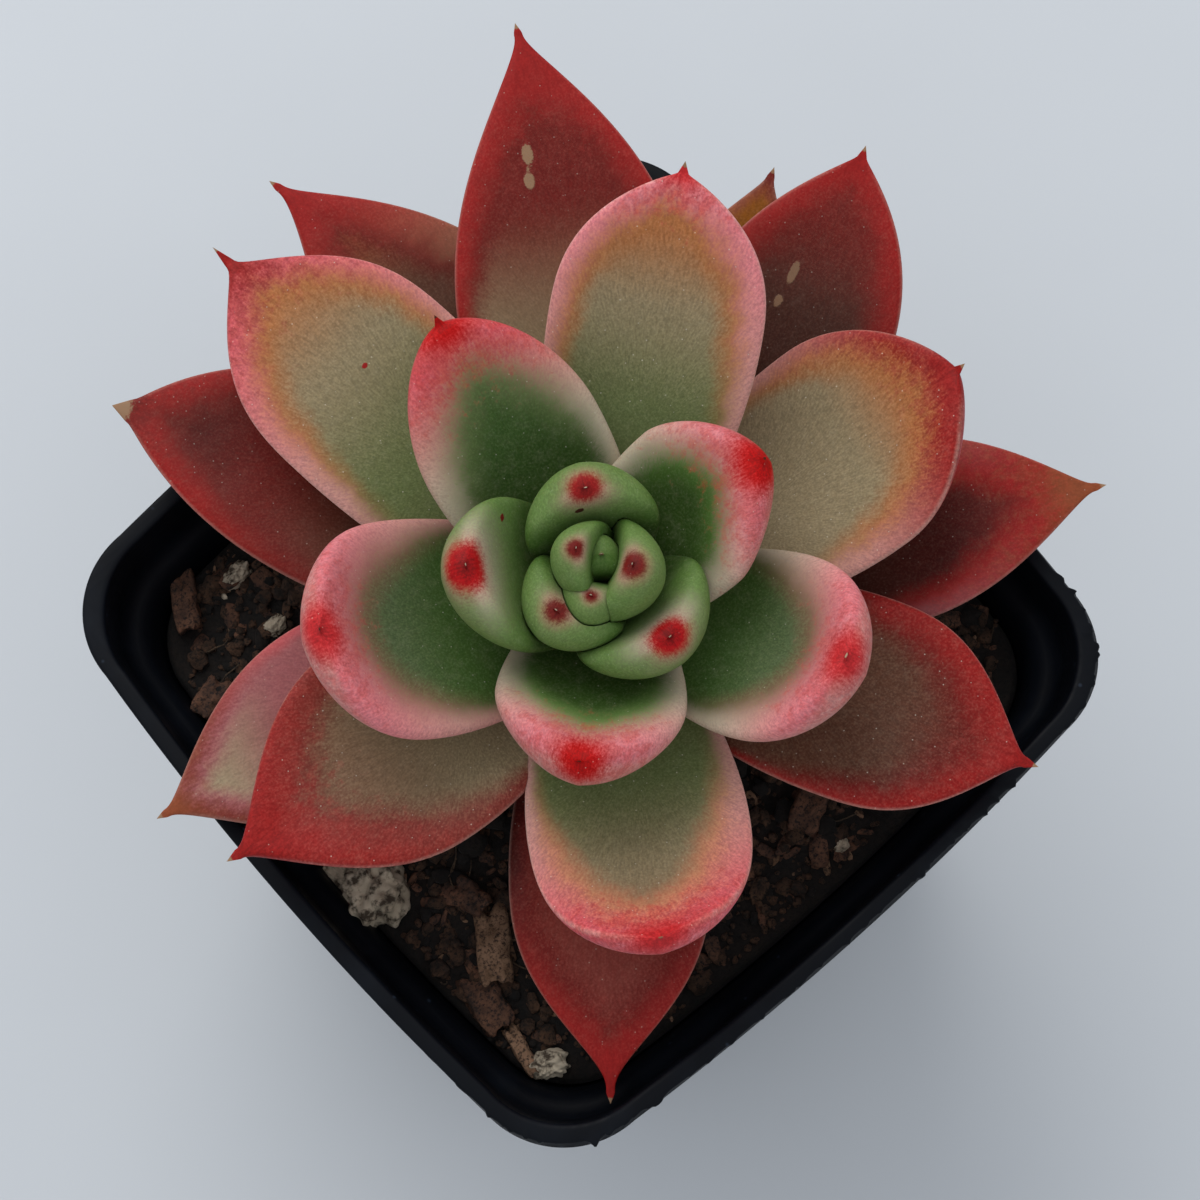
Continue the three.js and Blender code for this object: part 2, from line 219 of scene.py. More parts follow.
# The flash stands out a little from the rim's outer edge, each patch with its place and spread.
flash_reach = 0.7
flash_sink = 0.3
flash_patches = [((37, -30), 15), ((8, -38), 26), ((-30, -35), 11), ((38, 8), 16)]
for ring, (half, height) in zip(pot_rings, pot_profile):
    if half < rim_half - 0.5 or height < pot_height - 0.5:
        continue
    for point in ring:
        near = max(math.exp(-(math.dist(point[:2], spot) / spread) ** 2) for spot, spread in flash_patches)
        flat = Vector((point[0], point[1], 0))
        ragged = noise.noise(flat * 0.85) + 0.5 * noise.noise(flat * 2.3)
        point[:2] *= 1 + near * (flash_reach * max(0, ragged) - flash_sink) / rim_half

pot = wrapped("nursery_pot", pot_rings)
for side_x, side_y in ((1, 1), (1, -1), (-1, 1), (-1, -1)):
    bpy.ops.object.select_all(action="DESELECT")
    bpy.ops.mesh.primitive_cylinder_add(
        vertices=48, radius=drain_radius * MM, depth=6 * wall * MM,
        location=(side_x * drain_reach * MM, side_y * drain_reach * MM, 0))
    drill = bpy.context.object
    apply_modifier(pot, "BOOLEAN", operation="DIFFERENCE", solver="MANIFOLD", object=drill)
    bpy.data.objects.remove(drill)

# Moulded polypropylene: near black, with a satin skin that mirrors the sky. The rim is dragged
# lengthwise by handling, and dust lies on it in specks and a thin film, tinted a dull blue grey:
# real dust with a painted sheen of the sky on it.
polypropylene = new_material("black moulded polypropylene")
tree = polypropylene.node_tree
place = add_node(tree, "TexCoord").outputs["Object"]
drags = []
for drawn_out in ((0.06, 1, 1), (1, 0.06, 1)):
    lengthwise = add_node(tree, "Mapping", {"Vector": place, "Scale": drawn_out})
    drags.append(add_node(tree, "TexNoise", {
        "Vector": lengthwise, "Scale": pattern_scale(0.35), "Detail": 2}))
apart = add_node(tree, "SeparateXYZ", {"Vector": place})
size_x, size_y = [add_node(tree, "Math", {0: apart.outputs[axis]}, operation="ABSOLUTE")
                  for axis in ("X", "Y")]
on_x_side = add_node(tree, "Math", {0: size_x, 1: size_y}, operation="GREATER_THAN")
drag = add_node(tree, "Mix", {FACTOR: on_x_side, FIRST: drags[0], SECOND: drags[1]})
cloud = add_node(tree, "TexNoise", {"Vector": place, "Scale": pattern_scale(9), "Detail": 4})
speck = add_node(tree, "TexVoronoi", {"Vector": place, "Scale": pattern_scale(2.6)})
dust = add_node(tree, "MapRange", {"Value": speck, "From Min": 0.09, "From Max": 0.04})
film = add_node(tree, "MapRange", {"Value": cloud, "From Min": 0.5, "From Max": 0.78, "To Max": 0.08})
dusty = add_node(tree, "Math", {0: dust, 1: 0.3}, operation="MULTIPLY")
dust_and_sheen = add_node(tree, "Math", {0: dusty, 1: film}, operation="ADD", use_clamp=True)
# The dust's blue grey is partly painted sheen, the sky's reflection laid into the colour.
colour = add_node(tree, "Mix", {
    FACTOR: dust_and_sheen, UNDER: linear("#070a10"), OVER: linear("#3f4a5a")}, data_type="RGBA")
rough = add_node(tree, "MapRange", {
    "Value": drag, "From Min": 0.3, "From Max": 0.7, "To Min": 0.38, "To Max": 0.54})
relief = add_node(tree, "Bump", {"Height": drag, "Strength": 0.35, "Distance": 0.03 * MM})
shader = add_node(tree, "BsdfPrincipled", {
    "Base Color": colour.outputs[MIXED], "Roughness": rough, "Normal": relief,
    "IOR": 1.49, "Specular IOR Level": 0.1})
add_node(tree, "OutputMaterial", {"Surface": shader})
pot.data.materials.clear()
pot.data.materials.append(polypropylene)
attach(pot, "root")
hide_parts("pot")


# The soil
# Peat and composted bark, pressed in loosely by hand up to the ledge. Its top is uneven, and crumbs,
# bark chips, pumice and dead root fibres lie all over it. The body below is one packed mass.
gap = 0.3
soil_edge_height = 60.4
soil_crown_height = 61.6
soil_relief = 0.7
crown = np.array([1.7, -0.3, 87])
stem_hole = 4.9
hole_floor = 50
soil_floor = wall + gap
soil_reach = room_half(soil_edge_height) - gap


def ground(x, y):
    """The height of the soil's top: a low crown with waves and crumbs that fade out at the wall."""
    half = max(abs(x), abs(y))
    share = half / room_half(soil_edge_height)
    fade = min(1, max(0, (room_half(soil_edge_height) - half) / 6))
    waves = math.sin(x * 0.31 + 1) * math.cos(y * 0.27) + math.sin(x * 0.17 - y * 0.41 + 2)
    crumbly = noise.fractal(Vector((x, y, 0)) * 0.55, 0.9, 2.1, 4)
    slope = soil_crown_height + (soil_edge_height - soil_crown_height) * share * share
    return slope + soil_relief * fade * waves * 0.6 + 0.45 * crumbly * min(1, fade * 2)


soil_around = 240
soil_outline = square_outline(soil_around)
turns = np.arctan2(soil_outline[:, 1], soil_outline[:, 0])
hole_rim = crown[:2] + stem_hole * np.stack([np.cos(turns), np.sin(turns)], axis=1)
top_rings = 44
side_foot = room_half(wall) - 0.7
soil_side = [(0, soil_floor), (side_foot, soil_floor), (soil_reach - 0.8, 59.0), (soil_reach, 59.8)]
soil_rings = [[(x * half, y * half, height) for x, y in soil_outline] for half, height in soil_side]
for ring in range(top_rings + 1):
    share = ring / top_rings
    flat = soil_outline * (soil_reach - 0.5) * (1 - share) + hole_rim * share
    soil_rings.append([(x, y, ground(x, y)) for x, y in flat])
for radius in (stem_hole, 0):
    flat = crown[:2] + (hole_rim - crown[:2]) * radius / stem_hole
    soil_rings.append([(x, y, hole_floor) for x, y in flat])
soil = wrapped("packed_soil", np.array(soil_rings))


def soil_material(name, dark, light, hollow_shade, rough_value, grain_mm):
    """A dull granular material: two tones in patches, and painted shade in the low pores of its coarse
    relief.
    """
    material = new_material(name)
    tree = material.node_tree
    place = add_node(tree, "TexCoord").outputs["Object"]
    patch = add_node(tree, "TexNoise", {
        "Vector": place, "Scale": pattern_scale(grain_mm * 3), "Detail": 5, "Roughness": 0.65})
    grain = add_node(tree, "TexNoise", {
        "Vector": place, "Scale": pattern_scale(grain_mm * 0.5), "Detail": 3, "Roughness": 0.7})
    share = add_node(tree, "MapRange", {"Value": patch, "From Min": 0.32, "From Max": 0.68})
    tone = add_node(tree, "Mix", {
        FACTOR: share, UNDER: linear(dark), OVER: linear(light)}, data_type="RGBA")
    # The pores are painted shade: the colour darkens where the relief's grain is low.
    hollow_shade_share = add_node(tree, "MapRange", {"Value": grain, "From Min": 0.52, "From Max": 0.36})
    colour = add_node(tree, "Mix", {
        FACTOR: hollow_shade_share, UNDER: tone.outputs[MIXED], OVER: linear(hollow_shade)}, data_type="RGBA")
    relief = add_node(tree, "Bump", {"Height": grain, "Strength": 0.8, "Distance": 0.15 * MM})
    shader = add_node(tree, "BsdfPrincipled", {
        "Base Color": colour.outputs[MIXED], "Roughness": rough_value, "Normal": relief})
    add_node(tree, "OutputMaterial", {"Surface": shader})
    return material


# Damp peat drinks the light; bark is a warm brown, paler where it has weathered; pumice is pale and
# pitted. The three colours are the darker patches, the lighter ones and the painted shade in the pores.
peat = soil_material("damp sphagnum peat", "#090807", "#1f1610", "#030202", 0.95, 0.6)
old_peat = soil_material("crumbled brown peat", "#1f150e", "#563c2a", "#090604", 0.95, 0.6)
bark = soil_material("composted pine bark", "#2e1c13", "#704b36", "#0d0705", 0.85, 0.7)
pale_bark = soil_material("weathered pine bark", "#60452f", "#94735a", "#2d1d13", 0.85, 0.7)
pumice = soil_material("washed pumice", "#978973", "#cdc0aa", "#43382c", 0.9, 2.6)
root_hair = soil_material("dead root fibre", "#33261b", "#66533e", "#17100b", 0.8, 0.4)
soil.data.materials.append(peat)
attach(soil, "root")
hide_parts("soil")


def lump_shape(name, subdivisions, roughness, corners, seed):
    """A lump 1 mm across, to be copied and drawn out: corners is 2 for a pebble, more for a block."""
    bpy.ops.object.select_all(action="DESELECT")
    bpy.ops.mesh.primitive_ico_sphere_add(subdivisions=subdivisions, radius=0.5 * MM)
    lump = bpy.context.object
    lump.name = name
    shift = Vector((seed * 7.3, seed * 3.1, seed * 5.7))
    for vertex in lump.data.vertices:
        unit = vertex.co.normalized()
        block = sum(abs(part) ** corners for part in unit) ** (-1 / corners)
        swell = noise.noise(unit * 1.7 + shift) + 0.5 * noise.noise(unit * 4 + shift)
        vertex.co *= block * (1 + roughness * swell)
    return lump


def scattered(name, shapes, places, material):
    """Copies of the shapes at their places, joined into one piece that lies on the soil."""
    copies = []
    for index, (x, y, z, long, wide, high, turn, tilt) in enumerate(places):
        copy = shapes[index % len(shapes)].copy()
        copy.data = copy.data.copy()
        spot = Matrix.Translation(Vector((x, y, z)) * MM)
        spin = Matrix.Rotation(turn, 4, "Z") @ Matrix.Rotation(tilt, 4, "Y")
        copy.data.transform(spot @ spin @ Matrix.Diagonal((long, wide, high, 1)))
        bpy.context.collection.objects.link(copy)
        copies.append(copy)
    bpy.ops.object.select_all(action="DESELECT")
    for copy in copies:
        copy.select_set(True)
    bpy.context.view_layer.objects.active = copies[0]
    bpy.ops.object.join()
    piece = bpy.context.object
    piece.name = piece.data.name = name
    bpy.ops.object.shade_smooth_by_angle(angle=math.radians(50))
    piece.data.materials.append(material)
    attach(piece, "root")


def strewn(seed, count, smallest, largest, flatness, slimmest=0.55):
    """Seeded places over the soil's top, for lumps of a range of lengths in millimetres."""
    dice = random.Random(seed)
    places = []
    while len(places) < count:
        x = dice.uniform(-1, 1) * (soil_reach - 1.2)
        y = dice.uniform(-1, 1) * (soil_reach - 1.2)
        long = smallest + (largest - smallest) * dice.random() ** 2
        room = soil_reach - 0.6 - long / 2
        corner = abs(x) + abs(y) > 1.74 * room
        if corner or max(abs(x), abs(y)) > room or math.dist((x, y), crown[:2]) < stem_hole + 2:
            continue
        wide = long * dice.uniform(slimmest, slimmest + 0.4)
        high = wide * dice.uniform(flatness * 0.7, flatness)
        z = ground(x, y) + high * dice.uniform(0.05, 0.5)
        places.append((x, y, z, long, wide, high, dice.uniform(0, math.tau), dice.uniform(-0.4, 0.4)))
    return places


crumbs = [lump_shape(f"crumb_{seed}", 2, 0.5, 2.4, seed) for seed in range(4)]
specks = [lump_shape(f"speck_{seed}", 1, 0.35, 2, seed + 9) for seed in range(4)]
splinters = [lump_shape(f"splinter_{seed}", 2, 0.3, 4, seed + 20) for seed in range(4)]
scattered("peat_crumbs", crumbs, strewn(1, 520, 0.9, 2.8, 0.8), peat)
scattered("brown_crumbs", crumbs, strewn(2, 1100, 0.7, 2.2, 0.9), old_peat)
scattered("fine_crumbs", specks, strewn(3, 3400, 0.4, 1.2, 0.9), old_peat)
scattered("bark_chips", splinters, strewn(4, 520, 0.8, 3.2, 0.6, 0.25), bark)
scattered("bark_flakes", splinters, strewn(5, 320, 0.5, 2.2, 0.5, 0.25), pale_bark)
scattered("pumice_grit", specks, strewn(6, 40, 0.4, 1.0, 0.9), pumice)

# The lumps that stand out: place, length, width, height and turn in degrees, of pumice or of bark.
big_lump = lump_shape("big_lump", 5, 0.4, 2.6, 31)
long_chip = lump_shape("long_chip", 4, 0.3, 5, 17)
pumice_lumps = [(-31.1, -3.8, 6.6, 5.6, 5, 60), (-20.7, 29, 3, 1.8, 1.6, 10),
                (-21.2, 22.2, 2.2, 1.6, 1.4, 0), (-32.4, -0.2, 3, 1.8, 1.6, 90),
                (5.2, -30.2, 1.6, 1.2, 1.4, 20), (-29.2, -27.2, 3.4, 2.4, 2, 150)]
pale_lumps = [(-25.9, -15.3, 7, 3.2, 2.6, 55), (-30.3, -24.4, 5, 1.4, 1.3, 80), (-27.3, 19.6, 3, 2, 1.6, 30)]
dark_lumps = [(-29.8, -18.7, 6, 3.2, 2, 80), (-26.2, 30.2, 6.2, 2.4, 2.2, 60), (-30.5, 21, 4, 2.6, 2, 20),
              (5, -25.5, 4.5, 3, 2.4, 30), (-24.5, -10.5, 3.6, 2.4, 2, 100), (12, -27, 4, 2, 1.8, 10)]
lump_tilt = 0.15
for name, lumps, shape, material in [
        ("pumice_lumps", pumice_lumps, big_lump, pumice),
        ("weathered_chips", pale_lumps, long_chip, pale_bark),
        ("dark_chips", dark_lumps, long_chip, bark)]:
    places = [(x, y, ground(x, y) + 0.25 * high, long, wide, high, math.radians(turn), lump_tilt)
              for x, y, long, wide, high, turn in lumps]
    scattered(name, [shape], places, material)

# Root fibres: hair-thin curved threads that lie over the crumbs.
fibre_dice = random.Random(12)
fibres = bpy.data.curves.new("root_fibres", "CURVE")
fibres.dimensions = "3D"
fibres.bevel_depth = 0.07 * MM
fibres.bevel_resolution = 1
fibres.use_fill_caps = True
for x, y, z, *_ in strewn(7, 60, 1, 2, 0.5):
    heading = fibre_dice.uniform(0, math.tau)
    bend = fibre_dice.uniform(-0.5, 0.5)
    thread = fibres.splines.new("POLY")
    thread.points.add(7)
    for point in thread.points:
        height = ground(x, y) + fibre_dice.uniform(0.3, 1.0)
        point.co = (x * MM, y * MM, height * MM, 1)
        step = 0.8 if max(abs(x), abs(y)) < soil_reach - 2.5 else 0.1
        x += step * math.cos(heading)
        y += step * math.sin(heading)
        heading += bend + fibre_dice.uniform(-0.3, 0.3)
threads = bpy.data.objects.new("root_fibres", fibres)
bpy.context.collection.objects.link(threads)
select_only(threads)
bpy.ops.object.convert(target="MESH")
threads.data.materials.append(root_hair)
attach(threads, "root")
for shape in crumbs + specks + splinters + [big_lump, long_chip]:
    bpy.data.objects.remove(shape)


# The stem
# A short woody stem that carries every leaf. The scars of the leaves that fell off wind round it,
# and its foot stands in the soil.
stem_foot = -36.7
scar_height = 0.22
bark_height = 0.25
stem_profile = [(0, stem_foot), (4.0, stem_foot), (4.4, -24.7), (4.6, -16), (4.2, -7), (3, -2.5),
                (1.6, 0), (0, 0.6)]
stem_heights = np.concatenate([[stem_foot], np.linspace(stem_foot, 0.6, 90)])
stem_radii = np.interp(stem_heights, [z for _, z in stem_profile], [r for r, _ in stem_profile])
stem_radii[0] = 0
stem_rings = []
for radius, height in zip(stem_radii, stem_heights):
    ring = []
    for turn in np.arange(64) * math.tau / 64:
        scar = scar_height * math.sin(2.1 * height + 2 * turn) * max(0, math.sin(3 * turn - height))
        worn = bark_height * noise.noise(Vector((math.cos(turn) * 4, math.sin(turn) * 4, height * 0.9)))
        r = max(0, radius + (scar + worn) * min(1, radius / 3) - bark_height * min(1, radius))
        ring.append((crown[0] + r * math.cos(turn), crown[1] + r * math.sin(turn), crown[2] + height))
    stem_rings.append(ring)
stem = wrapped("woody_stem", np.array(stem_rings))
# The stem's bark tones, with painted shade in the pores of its relief.
stem_bark = soil_material("ringed stem bark", "#4b3826", "#8a6f50", "#2a1d13", 0.85, 0.5)
stem.data.materials.append(stem_bark)
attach(stem, "root")
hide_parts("stem")


# The leaves
# Fleshy leaves with a flat face, a keeled back and a short point, 27 of them in one golden spiral.
# Each is a ball drawn out along the leaf's midrib: its poles are the foot and the tip. Leaves of
# one age share their thickness, outline and cup; sizes are in millimetres and degrees.
golden_angle = -137.5
first_azimuth = 18.3
step_down = 0.8
even_curl = 1.5
leaf_around = 72
leaf_along = 100

# thick is a leaf's thickness and share the part of it above the midrib. base and base_thick are the
# foot's breadth and thickness as shares of the fullest; widest is where the leaf is broadest; blunt
# and taper shape its outline beyond that, and taper_depth its thickness. keel sharpens the back, cup
# lifts the margins, cusp and cusp_width are the point's length and half width, and start is how far
# the foot stands off the stem's axis.
green = dict(flesh=("moss", "leaf", "fresh"), glow="fresh", trim=("fresh", "sand"), back="fresh")
bud = dict(green, thick=4, share=0.42, base=0.7, widest=0.5, blunt=2, taper=0.5, taper_depth=0.45,
           keel=0.1, cup=0.45, cusp=0.5, cusp_width=0.3, start=0.3, dry=(0.2, "pale"), age="bud")
young = dict(green, thick=5.2, share=0.42, base=0.62, widest=0.55, blunt=2.4, taper=0.5, taper_depth=0.45,
             keel=0.12, cup=0.4, cusp=0.7, cusp_width=0.4, dry=(0.28, "pale"), age="young")
heart = dict(thick=6, share=0.42, base=0.5, widest=0.58, blunt=2.4, taper=0.5, taper_depth=0.5,
             keel=0.25, cup=0.3, cusp=0.9, cusp_width=0.5, dry=(0.35, "umber"), back="blush", age="heart",
             trim=("pale", "pink"))
outer = dict(thick=5.2, share=0.36, base=0.42, widest=0.56, blunt=2.2, taper=0.7, taper_depth=0.6,
             keel=0.3, cup=0.26, cusp=1.2, cusp_width=0.5, dry=(0.55, "cork"), back="pink", age="outer",
             flesh=("sage", "olive", "ochre"), glow="ochre", trim=("blush", "rose"), band=(1.3, 2.6))
skirt = dict(thick=4.4, share=0.34, base=0.35, widest=0.52, blunt=2, taper=1.4, taper_depth=0.9,
             keel=0.35, cup=0.16, cusp=1, cusp_width=0.4, dry=(0.6, "cork"), back="mauve", age="skirt",
             glow="wine", trim=("wine", "crimson"), band=(1.2, 2.4))
plain_leaf = dict(base_thick=0.7, start=1, late=even_curl, swing=0, twist=0, lean=0,
                  marks=[], mark_colour="cork")

# The pigments: greens of the shaded flesh, ochre and brown where it ages, and the reds of the sun.
pigment = {
    "moss": "#2c4217", "leaf": "#47652a", "fresh": "#607b40", "sage": "#5e6a40", "olive": "#887a5d",
    "sand": "#988a6e", "pale": "#b3a690", "coral": "#c07c5c", "ochre": "#a3663b", "rust": "#85452a",
    "tan": "#7b5f49", "brown": "#5b3a2b", "umber": "#42231a", "maroon": "#451511", "wine": "#691c17",
    "crimson": "#8f1b19", "scarlet": "#b30a09", "rose": "#c5565d", "pink": "#cf777d", "blush": "#bd8b82",
    "mauve": "#9b5c5e", "fern": "#51603f", "brick": "#7a342c",
    "jade": "#385222", "garnet": "#6a1813", "ruby": "#a00f12", "cherry": "#bb2a2d",
    "amber": "#88500f", "cork": "#8e7056", "straw": "#c9b594"}

# The leaves, youngest first. off turns a leaf off its place in the spiral, rise is its slope at the
# foot, curl what its slope gains up to the tip and late how late it does, swing a sideways sweep and
# twist a roll. flesh is the face's colour at foot, middle and tip, trim the margin's near the foot and
# the tip, and glow the colour between them; band is the margin's width at both, and lean draws it to
# the left (+) or the right (-). spot and dry are the tip's red and its dead point: reach and colour.
# marks are scars: place along and across, half length and half breadth. back is the underside.
leaves = [
    dict(bud, off=35, length=5.5, width=4, rise=83, curl=10,
         flesh=("moss", "moss", "leaf"), glow="leaf", trim=("leaf", "leaf"), band=(0.6, 1),
         spot=(0.3, "garnet")),
    dict(bud, off=-29, length=7.5, width=6, rise=48, curl=55, start=0.8,
         band=(0.8, 1.6), spot=(0.8, "garnet")),
    dict(bud, off=22, length=10, width=7.5, rise=62, curl=42, swing=6, thick=3.8,
         band=(0.8, 1.9), spot=(1.05, "garnet")),
    dict(bud, off=-24, length=10.5, width=9.5, rise=54, curl=56, thick=4.6,
         band=(0.8, 2.4), spot=(1.4, "garnet")),
    dict(young, off=-4, length=10, width=10, rise=35, curl=62, swing=5,
         band=(1, 2.4), spot=(1.35, "wine")),
    dict(young, off=10.5, length=13.5, width=12, rise=34, curl=79,
         band=(1, 3), spot=(1.65, "crimson"), marks=[(0.84, 0.2, 0.3, 0.42)], mark_colour="umber"),
    dict(young, off=-1, length=12.5, width=13.5, rise=21, curl=70, swing=-5,
         trim=("fresh", "pale"), band=(1, 4), spot=(2, "ruby")),
    dict(young, off=2.5, length=18, width=14, rise=16, curl=83, swing=14,
         trim=("sand", "pale"), band=(1.2, 5.4), spot=(2.5, "ruby"), marks=[(0.68, -0.71, 0.3, 0.36)],
         mark_colour="wine"),
    dict(heart, off=0.5, length=20.5, width=16, rise=19, curl=42, swing=-23, base=0.75, blunt=1.6,
         taper=0.6,
         flesh=("moss", "moss", "leaf"), glow="leaf", band=(2.2, 4), lean=-0.1, spot=(3.1, "scarlet")),
    dict(heart, off=2.5, length=21.5, width=17, rise=3, curl=77, swing=-5, base=0.62, widest=0.55, blunt=2,
         taper=0.7,
         flesh=("moss", "jade", "leaf"), glow="fresh", band=(1.8, 4.2), spot=(2.7, "scarlet")),
    dict(heart, off=-1, length=30, width=17, rise=18, curl=32, base=0.66, widest=0.53, blunt=1.9,
         taper=0.55, cusp=1.2,
         flesh=("moss", "jade", "jade"), glow="sage", trim=("pale", "rose"), band=(2, 4.4), lean=0.1,
         spot=(3.2, "scarlet")),
    dict(heart, off=-8, length=29, width=18, rise=4, curl=95, late=2.2, swing=-4, blunt=2.1, taper=0.4,
         flesh=("jade", "fern", "fern"), glow="tan", band=(1.2, 4.6), spot=(2.6, "cherry"),
         dry=(0.5, "straw")),
    dict(heart, off=-16.5, length=31.5, width=20.5, rise=6, curl=90, late=2.4, swing=1, base=0.6, taper=0.4,
         flesh=("jade", "fern", "fern"), glow="tan", trim=("blush", "pink"), band=(1.4, 4.6),
         spot=(2.8, "cherry")),
    dict(outer, off=6, length=40.5, width=19.5, rise=14.5, curl=27, widest=0.62, blunt=2.7, taper=0.8,
         trim=("blush", "pink"), lean=-0.2, spot=(2.3, "cherry")),
    dict(outer, off=-17, length=37.5, width=20, rise=-5, curl=94, late=2.6, swing=3, blunt=2.3, taper=0.5,
         flesh=("sage", "olive", "tan"), glow="coral", band=(1.1, 4), lean=0.2, spot=(3.2, "cherry")),
    dict(outer, off=-19.5, length=48.5, width=20.5, rise=6, curl=8, base=0.55, widest=0.57, blunt=3,
         taper=1.2, cusp=2.2,
         lean=0.2, spot=(4.5, "crimson"), marks=[(0.629, -0.13, 0.25, 0.3)], mark_colour="crimson"),
    dict(outer, off=10, length=40.5, width=22, rise=3.5, curl=48, late=2, swing=3, twist=-12, widest=0.66,
         blunt=2.1,
         flesh=("olive", "olive", "ochre"), trim=("blush", "crimson"), band=(1.2, 3.2), lean=-0.3,
         spot=(3.6, "crimson")),
    dict(outer, off=-26.5, length=41, width=21.5, rise=5, curl=10, widest=0.53, blunt=2.3, taper=1.3,
         flesh=("olive", "tan", "brown"), glow="brick", trim=("brick", "crimson"), band=(1.5, 3.8),
         lean=0.2, spot=(7, "crimson")),
    dict(skirt, off=-11, length=55.5, width=22, rise=10.5, curl=3, swing=12, widest=0.48, blunt=2.3,
         taper=1.25,
         flesh=("olive", "wine", "wine"), trim=("crimson", "crimson"), band=(1.2, 2.8), spot=(7, "crimson"),
         marks=[(0.772, 0.26, 0.95, 0.55), (0.727, 0.26, 0.8, 0.5)]),
    dict(outer, off=11.5, length=41.5, width=19.5, rise=7.5, curl=-4, widest=0.57, blunt=2.8, taper=1.3,
         flesh=("brown", "brown", "wine"), glow="wine", trim=("crimson", "crimson"), band=(1, 3), lean=0.3,
         spot=(3.4, "crimson")),
    dict(skirt, off=-38, length=49.5, width=20.5, rise=5.5, curl=2, swing=13.5, widest=0.47, blunt=2.3,
         taper=0.8, cusp=1.7, cusp_width=1.15,
         flesh=("brown", "wine", "maroon"), spot=(3, "wine"), dry=(1.9, "cork")),
    dict(skirt, off=1, length=50.5, width=20, rise=6, curl=14, swing=18, widest=0.51, blunt=2.9, taper=1,
         flesh=("umber", "umber", "wine"), spot=(3, "crimson"),
         marks=[(0.727, 0.22, 1.2, 0.4), (0.665, 0.22, 0.6, 0.45)], mark_colour="tan"),
    dict(skirt, off=-3.5, length=44, width=18.5, rise=5, curl=-18, swing=-2, blunt=2.7, taper=1.7,
         flesh=("wine", "brick", "brick"), trim=("maroon", "crimson"), spot=(5, "crimson")),
    dict(skirt, off=-22.5, length=53, width=21, rise=7.5, curl=3, swing=32, taper=1.3,
         flesh=("brown", "brown", "rust"), trim=("olive", "crimson"), band=(1.6, 3), lean=-0.5,
         spot=(5, "crimson")),
    dict(skirt, off=17.5, length=48, width=18, rise=8.5, curl=-2, swing=-8, widest=0.54, blunt=2.3,
         taper=1.2,
         flesh=("umber", "maroon", "wine"), glow="crimson", trim=("mauve", "crimson"), band=(1.6, 2.6),
         lean=0.3, spot=(5, "rust")),
    dict(skirt, off=-22.5, length=45, width=20.5, rise=5.5, curl=8, swing=14, blunt=2.2, taper=1.25,
         flesh=("mauve", "mauve", "sand"), glow="mauve", trim=("rose", "brick"), band=(0.8, 1.6),
         spot=(3, "rust")),
    dict(skirt, off=-15.5, length=46.5, width=18, rise=7, curl=10, blunt=1.8, taper=1.05,
         flesh=("amber", "amber", "amber"), glow="amber", trim=("rust", "rust"), band=(0.8, 1.2),
         spot=(1.8, "wine")),
]


def smooth(value, low, high):
    """0 below low and 1 above high, with a smooth step between them."""
    share = np.clip((value - low) / (high - low), 0, 1)
    return share * share * (3 - 2 * share)


def blend(first, second, share):
    """Rows of colours between two, by a share for each row."""
    return first * (1 - share[:, None]) + second * share[:, None]


def section_of(leaf, along, grow):
    """The leaf's half width, thickness and lift of its margins, at shares of its length. The foot
    closes over its first 0.04, and the point, or cusp, is a cone on the end of the blade."""
    cusp_share = leaf["cusp"] / leaf["length"]
    inner = np.clip(along / leaf["widest"], 0, 1)
    outward = np.clip((along - leaf["widest"]) / (1 - cusp_share - leaf["widest"]), 0, 1)
    swell = np.sin(math.pi / 2 * inner)
    past = along >= leaf["widest"]
    breadth = np.where(past, (1 - outward ** leaf["blunt"]) ** leaf["taper"],
                       leaf["base"] + (1 - leaf["base"]) * swell)
    depth = np.where(past, (1 - outward ** 2.8) ** leaf["taper_depth"],
                     leaf["base_thick"] + (1 - leaf["base_thick"]) * swell)
    point = leaf["cusp_width"] * np.clip((1 - along) / cusp_share, 0, 1)
    foot = np.sqrt(np.clip(along / 0.04, 0, 1))
    half = leaf["width"] / 2 + grow
    half_width = foot * np.hypot(half * breadth, point)
    thickness = foot * np.hypot((leaf["thick"] + 2 * grow) * depth, 0.6 * point)
    margin_lift = leaf["cup"] * breadth * smooth(along, 0, 0.25) * (1 - 0.3 * outward) * half
    return half_width, thickness, margin_lift


